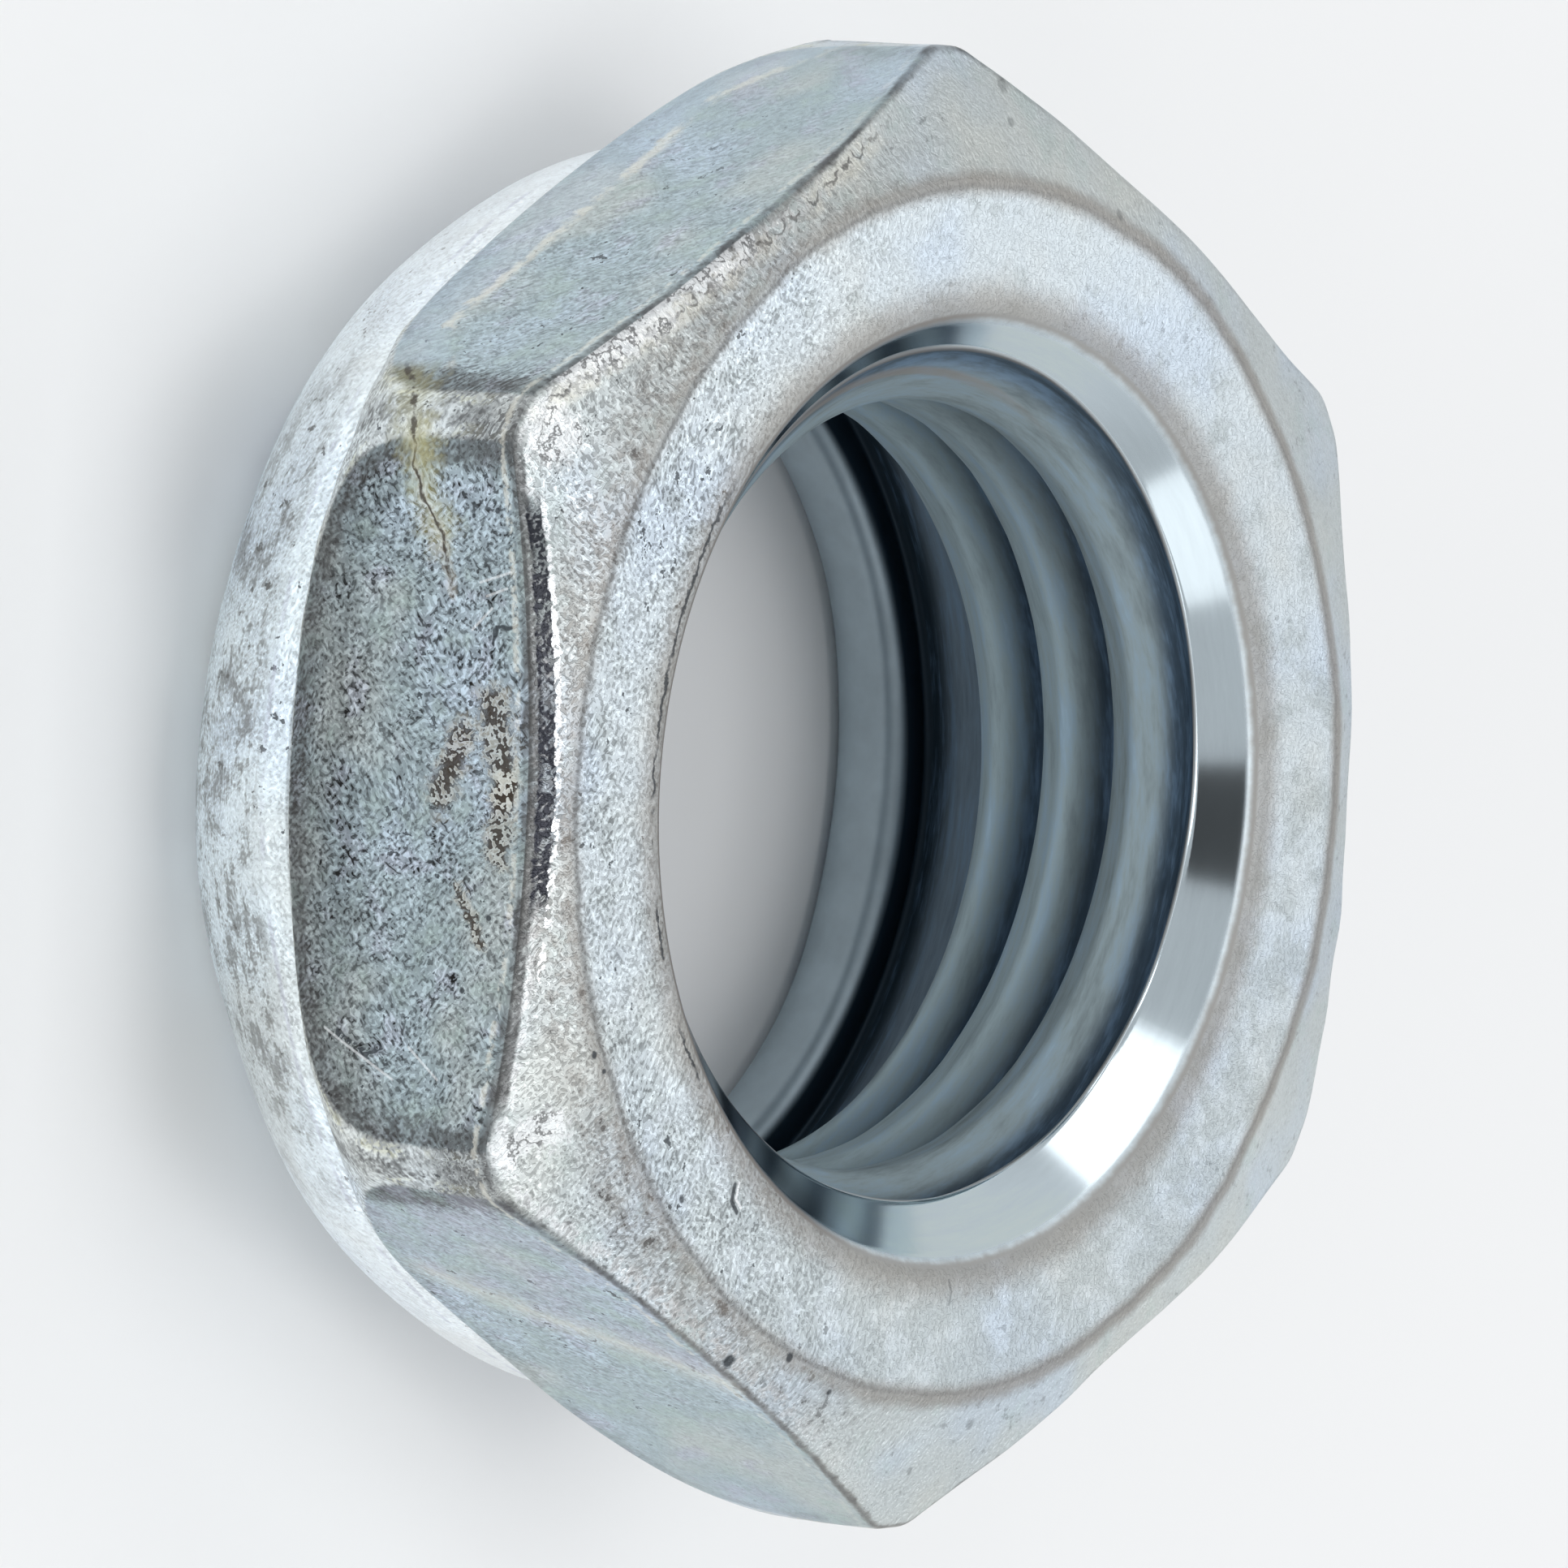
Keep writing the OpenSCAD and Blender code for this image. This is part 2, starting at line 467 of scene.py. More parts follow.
class Finish:
    """A material's node tree, and the few kinds of node that the finishes are made of."""

    def __init__(self, name):
        self.material = bpy.data.materials.new(name)
        self.material.use_nodes = True
        self.tree = self.material.node_tree
        self.tree.nodes.clear()

    def node(self, kind, settings, values, output=0):
        """Adds one node: its settings first, then a value or a link for each socket."""
        made = self.tree.nodes.new(kind)
        for name, setting in settings.items():
            setattr(made, name, setting)
        for name, value in values.items():
            if isinstance(value, Value):
                self.tree.links.new(value.socket, made.inputs[name])
            else:
                made.inputs[name].default_value = value
        return Value(self, made.outputs[output]) if made.outputs else None

    def math(self, operation, *values):
        return self.node("ShaderNodeMath", {"operation": operation}, dict(enumerate(values)))

    def vector(self, operation, *values, output=0):
        sockets = dict(enumerate(values))
        return self.node("ShaderNodeVectorMath", {"operation": operation}, sockets, output)

    def attribute(self, name):
        return self.node("ShaderNodeAttribute", {"attribute_name": name}, {}, "Fac")

    def step(self, value, low, high):
        """0 up to low, 1 from high on, and smooth in between. Low may be the larger."""
        return self.node("ShaderNodeMapRange", {"interpolation_type": "SMOOTHSTEP"},
                         {"Value": value, "From Min": low, "From Max": high})

    def noise(self, where, scale, detail=2.0, roughness=0.5):
        return self.node("ShaderNodeTexNoise", {}, {"Vector": where, "Scale": scale,
                                                    "Detail": detail, "Roughness": roughness})

    def mix(self, share, first, second):
        return self.node("ShaderNodeMix", {"data_type": "RGBA"}, {0: share, 6: first, 7: second}, 2)

    def least(self, first, second):
        return self.math("MINIMUM", first, second)

    def most(self, first, second):
        return self.math("MAXIMUM", first, second)

    def from_point(self, where, point):
        """Distance to a point."""
        return self.vector("DISTANCE", where, point, output="Value")

    def from_path(self, where, points):
        """Distance to a chain of straight lines."""
        nearest = None
        for a, b in zip(points[:-1], points[1:]):
            run = [q - p for p, q in zip(a, b)]
            square = sum(c * c for c in run)
            offset = self.vector("SUBTRACT", where, a)
            share = self.vector("DOT_PRODUCT", offset, [c / square for c in run], output="Value")
            share = self.node("ShaderNodeClamp", {}, {0: share})
            foot = self.shade(run, share)
            length = self.vector("DISTANCE", offset, foot, output="Value")
            nearest = length if nearest is None else self.least(nearest, length)
        return nearest

    def shade(self, colour, share):
        """A colour made lighter or darker, or a vector made longer or shorter."""
        return self.node("ShaderNodeVectorMath", {"operation": "SCALE"},
                         {0: colour, "Scale": share})

    def bump(self, height):
        """A normal that shows a height, given in millimetres."""
        return self.node("ShaderNodeBump", {}, {"Strength": 0.7, "Distance": MM, "Height": height})

    def shader(self, **sockets):
        """A surface shader with these sockets set or linked."""
        made = self.node("ShaderNodeBsdfPrincipled", {}, {})
        for name, value in sockets.items():
            socket = made.socket.node.inputs[name.replace("_", " ")]
            if isinstance(value, Value):
                self.tree.links.new(value.socket, socket)
            else:
                socket.default_value = value
        return made

    def blend(self, share, first, second):
        """The first shader where share is 0, the second where it is 1."""
        return self.node("ShaderNodeMixShader", {}, {0: share, 1: first, 2: second})

    def finished(self, shader):
        self.node("ShaderNodeOutputMaterial", {}, {"Surface": shader})
        return self.material


# Tones of the plating and its stains, and of the shade, shadows, reflections and highlights painted
# on it, given as display colours
BEARING_TONE = linear(207, 216, 221)
CHAMFER_TONE = linear(197, 204, 205)
FLAT_TONE = linear(168, 184, 190)
COLLAR_TONE = linear(232, 244, 250)
CORNER_TONE = linear(204, 211, 213)
SINK_TONE = linear(214, 226, 232)
CREST_TONE = linear(142, 157, 162)
GROOVE_SHADE_TONE = linear(62, 80, 96)
RECESS_SHADE_TONE = linear(122, 137, 149)
CREVICE_SHADOW_TONE = linear(34, 50, 62)
LIP_TONE = linear(186, 201, 209)
SHADE_TONE = linear(40, 54, 70)
BLUE_SHADE = linear(104, 130, 156)
BLUE_CAST = linear(196, 212, 232)
WARM_CAST = linear(210, 209, 199)
VIOLET_CAST = linear(180, 182, 200)
GREEN_CAST = linear(174, 193, 188)
GREY_FILM = linear(168, 176, 176)
CREAM = linear(234, 232, 220)
CHALK_AND_HIGHLIGHT = linear(246, 248, 250)
YELLOW_STAIN = linear(206, 202, 150)
BROWN_STAIN = linear(58, 48, 38)
GRIME_AND_SHADOW = linear(70, 70, 70)
RING_STAIN = linear(144, 137, 130)
COLLAR_GRIME = linear(102, 102, 98)
PIT = linear(44, 50, 56)
BLUE_BLACK_REFLECTION = linear(12, 16, 30)

# Marks on the flat that faces -X, as (y, z) in millimetres. A pit and a patch also have
# a radius.
CRACK = ((4.74, 5.10), (4.19, 5.25), (3.87, 5.42), (3.60, 5.64), (3.13, 5.80), (2.65, 5.97))
CRACK_STAIN = ((4.70, 5.30), (4.10, 5.36), (3.50, 5.66))
FLAT_PITS = (((3.36, 5.08), 0.045), ((3.36, 5.42), 0.035), ((3.74, 6.24), 0.04),
             ((3.83, 6.64), 0.05), ((-2.62, 6.36), 0.06), ((-1.62, 6.75), 0.05))
HOOK = ((2.34, 7.02), (2.24, 6.70), (2.04, 6.68))
SQUIGGLE = ((-3.34, 4.22), (-3.58, 4.72), (-3.50, 4.95), (-3.72, 5.10))
SCRATCHES = (((-3.27, 3.96), (-3.89, 5.21)), ((-3.44, 5.48), (-3.84, 5.99)),
             ((2.86, 6.40), (3.02, 6.92)), ((2.68, 6.52), (2.80, 6.86)),
             ((2.22, 6.30), (2.52, 6.62)))
BROWN_PATCHES = (((0.75, 6.20), (-0.05, 5.85), 0.36), ((1.25, 6.70), (0.15, 6.95), 0.42),
                 ((0.15, 6.95), (-0.75, 6.85), 0.34), ((-1.30, 6.20), (-1.98, 6.62), 0.16))

# The crack goes on over the corner, and grit lies where the front edges meet, as (x, y, z)
CORNER_CRACK = ((-8.11, 5.71, 4.20), (-8.52, 5.47, 4.68), (-8.79, 5.16, 4.98), (-8.99, 4.72, 5.12))
CORNER_GRIT = ((-8.88, 4.95, 6.50), (-8.86, -5.00, 6.45))

# The slanting crease on the flat that faces 240 degrees, as (x, y, z)
RISING_CREASE = ((-6.41, -6.69, 3.85), (-5.41, -7.27, 5.05), (-4.66, -7.70, 6.55),
                 (-3.98, -8.09, 7.42))

# Marks seen from above, as (x, y) in millimetres. A spot and a patch also have a radius.
DARK_SPOTS = (((-5.78, -5.43), 0.075), ((-7.69, -3.43), 0.055), ((-7.51, -3.65), 0.05),
              ((-4.40, -7.68), 0.12), ((-3.32, -7.66), 0.09), ((-2.36, -8.18), 0.07),
              ((0.96, 9.67), 0.14), ((0.87, 9.17), 0.09), ((3.01, 7.92), 0.10),
              ((0.89, -8.75), 0.11), ((-0.10, -9.38), 0.06))
COMMA = ((-4.66, -5.26), (-4.72, -5.48), (-4.60, -5.64))
COMMA_EDGE = ((-4.57, -5.24), (-4.63, -5.46), (-4.52, -5.58))
FACE_CRACK = ((0.04, -6.72), (0.10, -6.88), (0.06, -7.05))
CHALK_PATCHES = (((-8.32, 4.75), (-8.22, 5.00), 0.44), ((-8.66, -4.72), (-8.20, -4.40), 0.30),
                 ((-8.00, 5.75), (-6.50, 6.55), 0.40), ((-6.20, 6.85), (-4.90, 7.45), 0.26))
HATCH_ANGLE = math.radians(59.7)

# The grain's hairs: noise cells for a millimetre, along and across them
HAIR_SCALE = (6.5, 20.0, 20.0)

# The torn band along the front edge of the flat that faces -X, painted blue-black as a dark
# reflection, and the bright bead beside it, a painted highlight: where each begins and ends across
# the chamfer, and where it ends along y
REFLECTION_BAND = (0.17, 0.41)
REFLECTION_BAND_ENDS = (-1.25, 3.75)
HIGHLIGHT_BEAD = (0.43, 0.50)
HIGHLIGHT_BEAD_ENDS = (-2.45, 3.70)

# How metallic and how rough the plating is: outside, on the collar, in the thread and in
# the countersink
METALLIC = 0.60
ROUGHNESS = 0.42
COLLAR_METALLIC = 0.30
COLLAR_ROUGHNESS = 0.45
THREAD_ROUGHNESS = 0.75
SINK_METALLIC = 0.98
SINK_ROUGHNESS = 0.13


class NutFinish(Finish):
    """The plating, seen by zones. Places are in millimetres."""

    def __init__(self, name):
        super().__init__(name)
        coordinates = self.node("ShaderNodeTexCoord", {}, {}, "Object")
        self.where = self.vector("MULTIPLY", coordinates, (1 / MM, 1 / MM, 1 / MM))
        split = self.node("ShaderNodeSeparateXYZ", {}, {0: self.where})
        self.x, self.y, self.z = (Value(self, split.socket.node.outputs[i]) for i in range(3))
        self.above = self.vector("MULTIPLY", self.where, (1.0, 1.0, 0.0))
        self.beside = self.vector("MULTIPLY", self.where, (0.0, 1.0, 1.0))
        self.radius = self.vector("LENGTH", self.above, output="Value")
        for line in ("seam", "rear", "front", "ring", "mouth", "side", "cone"):
            setattr(self, line, self.attribute(line))
        # The few noises that the grain, the stains and the frayed lines share
        self.drift = self.noise(self.where, 0.42, 2.0)
        self.cloud = self.noise(self.moved(9.0, 3.0, 7.0), 1.3, 3.0, 0.62)
        self.grit = self.noise(self.where, 4.4, 3.0, 0.68)
        self.curl = self.hairs((0.0, 0.90, -0.64))
        self.fur = self.hairs((0.0, 0.90, 0.64))
        self.fray = self.grit - 0.5
        # Zones, each 0 to 1
        self.bearing = self.step(self.ring, -0.12, 0.10)
        self.before_front = self.step(self.front, 0.05, -0.01)
        self.chamfer = (1 - self.before_front) * (1 - self.bearing)
        self.pad = self.math("SMOOTH_MIN", self.rear, self.side, 1.1) + self.fray * 0.12
        self.flat = self.step(self.pad, -0.03, 0.05) * self.before_front
        self.collar = self.step(self.seam, 0.06, -0.02)
        self.corner = (1 - self.collar) * self.before_front * (1 - self.flat)
        # 1 on the side that faces -X, less on the far side, where the photograph is soft
        self.near = self.step(self.x, 0.5, -6.0)
        self.left = self.step(self.x, -8.0, -8.3)

    def moved(self, x, y, z):
        return self.vector("ADD", self.where, (x, y, z))

    def around(self, slow, third, fast):
        """Places that change slowly round the axis and fast along the third value."""
        turn = self.vector("MULTIPLY", self.where, (slow, slow, 0.0))
        return self.vector("ADD", turn, self.node("ShaderNodeCombineXYZ", {}, {2: third * fast}))

    def hairs(self, turn):
        """A noise drawn out along one direction, and bent by the slow drift."""
        turned = self.node("ShaderNodeVectorRotate", {"rotation_type": "EULER_XYZ"},
                           {"Vector": self.where, "Rotation": turn})
        bend = self.node("ShaderNodeCombineXYZ", {}, {1: self.drift * 16.0, 2: self.drift * -12.0})
        return self.noise(self.vector("MULTIPLY_ADD", turned, HAIR_SCALE, bend), 1.0, 0.0)

    def between(self, value, low, high, soft):
        """1 between two limits, 0 outside them, with soft ends."""
        return self.step(value, low - soft, low) * self.step(value, high + soft, high)

    def band(self, value, centre, half, soft):
        """1 within half of the centre, 0 beyond half and soft."""
        return self.step(abs(value - centre), half + soft, half)

    def stroke(self, places, path, half):
        """1 along a chain of lines, 0 beyond its half width."""
        return self.step(self.from_path(places, path), half, half * 0.4)

    def stain(self, tone, share, colour):
        return self.mix(share, tone, colour)


def beside(points):
    """Points (y, z) on a side as places whose x is left out."""
    return [(0.0, y, z) for y, z in points]


def above(points):
    """Points (x, y) as places whose height is left out."""
    return [(x, y, 0.0) for x, y in points]


def plating(f):
    """Tone of each zone, with the broad drifts of colour that zinc shows."""
    tone = f.mix(f.bearing, CHAMFER_TONE, BEARING_TONE)
    tone = f.mix(f.flat, tone, FLAT_TONE)
    tone = f.mix(f.corner, tone, CORNER_TONE)
    tone = f.mix(f.collar, tone, COLLAR_TONE)
    tone = f.stain(tone, f.step(f.drift, 0.50, 0.70) * 0.40, BLUE_CAST)
    tone = f.stain(tone, f.step(f.drift, 0.50, 0.32) * 0.35, WARM_CAST)
    film = f.step(f.cloud - f.y * 0.012, 0.44, 0.62) * (f.bearing + 0.2 * f.chamfer)
    tone = f.stain(tone, film * 0.50, GREY_FILM)
    violet = f.step(f.cloud, 0.53, 0.68) * 0.42 * (f.flat + 0.2 * f.collar)
    green = f.step(f.cloud, 0.48, 0.32) * 0.50 * (f.flat + 0.5 * f.chamfer)
    return f.stain(f.stain(tone, violet, VIOLET_CAST), green, GREEN_CAST)


def grain(f, tone):
    """Short crossing hairs, light and dark, a fine mottle and a few pits, with the flat that faces
    -X darker, most at its rear, and painted light that makes the chamfer lighter towards -Y and the
    bearing face lighter towards +Y. Returns the tone and the height in millimetres."""
    light_hair = f.most(f.step(f.curl, 0.61, 0.69), f.step(f.fur, 0.39, 0.31))
    dark_hair = f.most(f.step(f.curl, 0.39, 0.30), f.step(f.fur, 0.61, 0.70))
    folded = f.step(f.z + f.fray * 0.7 - f.step(f.side, 1.8, 0.0) * 1.0, 4.55, 4.15)
    rear_dark = f.flat * (f.step(f.z + f.fray * 1.8, 5.4, 3.6) * 0.55 + folded * 0.45)
    zones = 1.10 - 0.35 * f.flat - 0.40 * f.collar - 0.10 * f.bearing
    zones = zones + (0.42 - 0.25 * rear_dark) * f.left * f.flat
    patchy = 0.70 + 0.55 * f.step(f.cloud + f.drift * 0.4, 0.56, 0.84)
    strength = (0.14 + 0.86 * f.near) * zones * patchy
    hairs = light_hair * 0.34 - dark_hair * 0.38
    light = 1 + strength * (f.fray * 0.95 + hairs)
    light = light - rear_dark * f.left * 0.28 - f.flat * f.left * 0.25
    # Painted light: the chamfer lighter towards -Y and the bearing face lighter towards +Y
    light = light + f.chamfer * f.step(f.y, -2.0, -6.0) * 0.18
    light = light + f.bearing * f.step(f.y, 4.0, 7.0) * 0.09
    pits = f.step(f.grit + f.drift * 0.25, 0.79, 0.82) * (0.3 + 0.7 * f.near)
    tone = f.stain(f.shade(tone, light), pits * 0.85, PIT)
    return tone, light_hair * 0.008 - dark_hair * 0.010


def edge_lines(f, tone):
    """The worn brown line where each flat meets the chamfer, thinner towards -Y and fainter
    on the far side, with chalky grit above it and cream slivers below, and a scalloped
    crack line beside the edge at the upper left."""
    front = f.front + f.fray * 0.14
    grainy = f.step(f.fray, -0.06, 0.06)
    tone = f.stain(tone, f.band(front, -0.17, 0.02, 0.06) * grainy * (0.10 + 0.35 * f.near), CREAM)
    tone = f.stain(tone, f.band(front, 0.22, 0.06, 0.14) * grainy * f.near * 0.60, CHALK_AND_HIGHLIGHT)
    upper = f.step(f.y, 4.6, 5.4) * f.step(f.x, -1.2, -2.6)
    pale = f.band(front, 0.28, 0.10, 0.16) * upper * f.step(f.cloud, 0.40, 0.55)
    tone = f.stain(tone, pale * 0.55, CREAM)
    along = f.x * -0.866 - f.y * 0.5
    arcs = abs(f.math("SINE", along * 7.5 + (f.cloud - 0.5) * 8.0))
    scallop = f.front - 0.14 - arcs * 0.16 + f.fray * 0.35
    scallops = f.band(scallop, 0.0, 0.012, 0.035) * upper * f.step(arcs, 0.25, 0.6)
    tone = f.stain(tone, scallops * 0.72, GRIME_AND_SHADOW)
    thin = f.step(f.y, -5.6, -7.4)
    line = f.step(abs(front), 0.135 - thin * 0.055, 0.03 - thin * 0.02)
    line = line * (1 - 0.72 * f.step(f.x, 0.0, 3.0))
    tone = f.stain(tone, line * thin * 0.55, RING_STAIN)
    strength = (0.42 + f.step(f.cloud, 0.42, 0.6) * 0.44) * (1 - thin * 0.35)
    return f.stain(tone, line * strength, GRIME_AND_SHADOW)


def flat_edges(f, tone):
    """What lies round each flat: a painted soft shadow inside its rear edge and ends, a yellowish
    fringe outside it, and dark grit along the middle of each corner. Behind its crease a flat is
    bluer, with a broken cream line on the crease, but the -X one has neither, and on the lower left
    one the crease slants and the part before it is violet."""
    grainy = f.step(f.fray + (f.curl - 0.5) * 0.7, -0.08, 0.10)
    uneven = f.step(f.cloud, 0.36, 0.56)
    middle = f.band(f.side + f.fray * 0.5, -0.36, 0.06, 0.30) * f.corner
    middle = middle * (0.35 + 0.65 * uneven) * (1 - grainy * 0.5) * (0.30 + 0.32 * f.near)
    tone = f.stain(tone, middle, GRIME_AND_SHADOW)
    fringe = f.band(f.pad, -0.09, 0.03, 0.13) * f.step(f.cloud, 0.46, 0.60) * grainy
    tone = f.stain(tone, fringe * 0.34, YELLOW_STAIN)
    # Painted shadow: a dark soft line just inside each flat's rear edge and ends, strongest on the
    # -X flat, where the flat sits a step below the corners
    wavy = f.pad + f.fray * 0.25 + (f.cloud - 0.5) * 0.35
    rim = f.band(wavy, 0.17, 0.06, 0.24) * (0.07 + 0.18 * uneven + 0.50 * f.left)
    tone = f.stain(tone, rim * (1 - grainy * 0.35), GRIME_AND_SHADOW)
    crease = f.z + f.fray * 0.35 - f.step(f.side, 1.8, 0.0) * 1.0
    lower = f.step(f.x * -0.5 + f.y * -0.866, 8.6, 8.8)
    behind = f.flat * (1 - f.left) * (1 - lower)
    tone = f.stain(tone, f.step(crease, 4.35, 4.10) * behind * 0.26, BLUE_CAST)
    broken = f.step(f.cloud + f.fray * 0.4, 0.40, 0.58) * (0.30 + 0.30 * f.step(f.x, 1.0, -4.0))
    tone = f.stain(tone, f.band(crease, 4.22, 0.03, 0.14) * behind * broken, CREAM)
    from_rising = f.from_path(f.where, RISING_CREASE) + f.fray * 0.5 + (f.cloud - 0.5) * 0.7
    rising = f.step(from_rising, 0.62, 0.10) * 0.26 + f.step(from_rising, 0.24, 0.0) * 0.22
    tone = f.stain(tone, rising * lower * (0.55 + 0.45 * uneven) * f.flat, CREAM)
    above_it = f.step(f.z + f.x * -1.17 + f.y * 0.675, 6.65, 6.95) * lower * f.flat
    return f.stain(tone, above_it * f.step(f.cloud, 0.40, 0.56) * 0.26, VIOLET_CAST)


def left_marks(f, tone):
    """The marks on the flat that faces -X and its corners: the crack with its yellow stain,
    which goes on over the corner, grit at the corners, patches of brown crumbs, pits, a
    squiggle and scratches."""
    colour = f.node("ShaderNodeTexNoise", {}, {"Vector": f.where, "Scale": 4.0, "Detail": 1.0},
                    "Color")
    bend = f.vector("MULTIPLY", f.vector("SUBTRACT", colour, (0.5, 0.5, 0.5)), (0.0, 0.20, 0.20))
    bent = f.vector("ADD", f.beside, bend)
    from_crack = f.from_path(bent, beside(CRACK))
    stain = f.step(f.from_path(bent, beside(CRACK_STAIN)) + f.fray * 0.7, 0.46, 0.0)
    tone = f.stain(tone, stain * 0.36, YELLOW_STAIN)
    tone = f.stain(tone, f.step(from_crack + f.fray * 0.2, 0.10, 0.02) * 0.35, WARM_CAST)
    torn = f.step(from_crack + f.fray * 0.08, 0.036, 0.012) * f.step(f.grit, 0.36, 0.50)
    tone = f.stain(tone, torn * 0.9, BROWN_STAIN)
    from_corner = f.from_path(f.where, CORNER_CRACK) + f.fray * 0.26
    tone = f.stain(tone, f.step(from_corner + f.fray * 0.8, 0.56, 0.05) * 0.27, YELLOW_STAIN)
    tone = f.stain(tone, f.step(from_corner, 0.055, 0.010) * 0.85, BROWN_STAIN)
    gritty = f.step(f.fray + (f.curl - 0.5) * 0.5, -0.02, 0.05)
    for place in CORNER_GRIT:
        patch = f.step(f.from_point(f.where, place) + f.fray * 0.9, 0.90, 0.25)
        tone = f.stain(tone, patch * gritty * 0.80, GRIME_AND_SHADOW)
    for start, end, reach in BROWN_PATCHES:
        patch = f.step(f.from_path(bent, beside((start, end))) + f.fray * 0.5, reach, reach * 0.3)
        crumbs = f.step(f.fray * 0.9 + (f.curl - f.fur) * 0.35 + patch * 0.08, 0.045, 0.075)
        tone = f.stain(tone, f.least(patch, 1 - crumbs) * 0.36, CREAM)
        tone = f.stain(tone, patch * crumbs * 0.94, BROWN_STAIN)
    pits = f.stroke(bent, beside(HOOK), 0.035)
    for place, radius in FLAT_PITS:
        spot = f.step(f.from_point(f.beside, (0.0, *place)) + f.fray * 0.05, radius, radius * 0.6)
        pits = f.most(pits, spot)
    pits = f.most(pits, f.stroke(bent, beside(SQUIGGLE), 0.08) * f.step(f.curl, 0.38, 0.46))
    tone = f.stain(tone, pits * 0.88, PIT)
    lines = None
    for path in SCRATCHES:
        line = f.stroke(f.beside, beside(path), 0.025)
        lines = line if lines is None else f.most(lines, line)
    return f.stain(tone, lines * 0.45, CHALK_AND_HIGHLIGHT)


def collar_tone(f, tone):
    """Streaks round the collar, a brown-grey mottle along its middle where it faces -X, painted
    light that makes it paler away from there and thin lines where its straight side begins and
    ends."""
    streaks = f.noise(f.around(0.8, f.seam, 9.0), 1.0, 4.0, 0.7) - 0.5
    tone = f.shade(tone, 1 + streaks * f.collar * 0.55)
    mottle = streaks * 0.9 + f.fray * 0.8 + (f.curl - 0.5) * 0.5 + (f.cloud - 0.5) * 0.8
    blotch = f.step(mottle, -0.08, 0.20)
    # Painted light: the collar is made paler where |y| is large, away from the side that faces -X
    tone = f.stain(tone, f.step(abs(f.y), 2.5, 8.5) * f.collar * 0.50, CHALK_AND_HIGHLIGHT)
    middle = f.between(f.seam, -2.5, -0.80, 0.40) * f.collar
    middle = middle * (0.2 + 0.8 * f.step(f.x, -5.6, -8.2))
    tone = f.shade(tone, 1 - middle * 0.12)
    tone = f.stain(tone, blotch * middle * 0.78, COLLAR_GRIME)
    fine_line = f.band(f.seam + streaks * 0.1, -0.50, 0.015, 0.05) * f.step(f.cloud, 0.40, 0.55)
    tone = f.stain(tone, fine_line * 0.40, VIOLET_CAST)
    return f.stain(tone, f.band(f.seam, -0.03, 0.03, 0.05) * 0.40, GRIME_AND_SHADOW)


def ring_marks(f, tone):
    """The soft brown line round the bearing face, and the frayed edge of the bore."""
    ring = f.ring + (f.cloud - 0.5) * 0.16 + f.fray * 0.08
    tone = f.stain(tone, f.band(ring, -0.04, 0.03, 0.24) * (0.72 - 0.32 * f.near), RING_STAIN)
    tone = f.stain(tone, f.band(ring, 0.02, 0.01, 0.06) * (0.20 + f.near * 0.22), GRIME_AND_SHADOW)
    by_mouth = f.step(f.mouth + f.fray * 0.3, -0.62, -0.10) * f.bearing
    tone = f.stain(tone, by_mouth * 0.62, RING_STAIN)
    chipped = f.mouth + 0.13 + f.fray * 0.24
    here_and_there = f.step(f.cloud + f.step(f.y, 0.5, 2.5) * 0.1, 0.46, 0.54)
    chips = f.band(chipped, 0.0, 0.012, 0.03) * here_and_there
    return f.stain(tone, chips * f.step(abs(f.y), 4.6, 3.6) * f.near * 0.85, PIT)


def chamfer_marks(f, tone):
    """Grit on the narrow part of the chamfer and chalky patches beside two corners."""
    narrow = f.chamfer * f.step(f.radius, 9.3, 8.8)
    tone = f.stain(tone, narrow * (0.20 + f.step(f.fray, -0.05, 0.10) * 0.30) * f.near, RING_STAIN)
    speckle = f.step(f.fray + (f.curl - 0.5) * 0.5, 0.05, 0.14)
    tone = f.stain(tone, f.chamfer * speckle * (0.12 + 0.30 * f.near), GRIME_AND_SHADOW)
    cracks = f.step(abs(f.cloud + f.fray * 0.5 - 0.5), 0.035, 0.008)
    for start, end, radius in CHALK_PATCHES:
        away = f.from_path(f.above, above((start, end))) + f.fray * 0.9 + (f.cloud - 0.5) * 0.5
        patch = f.step(away, radius, radius * 0.5)
        tone = f.stain(f.stain(tone, patch * 0.58, CHALK_AND_HIGHLIGHT), patch * cracks * 0.75, GRIME_AND_SHADOW)
    return tone


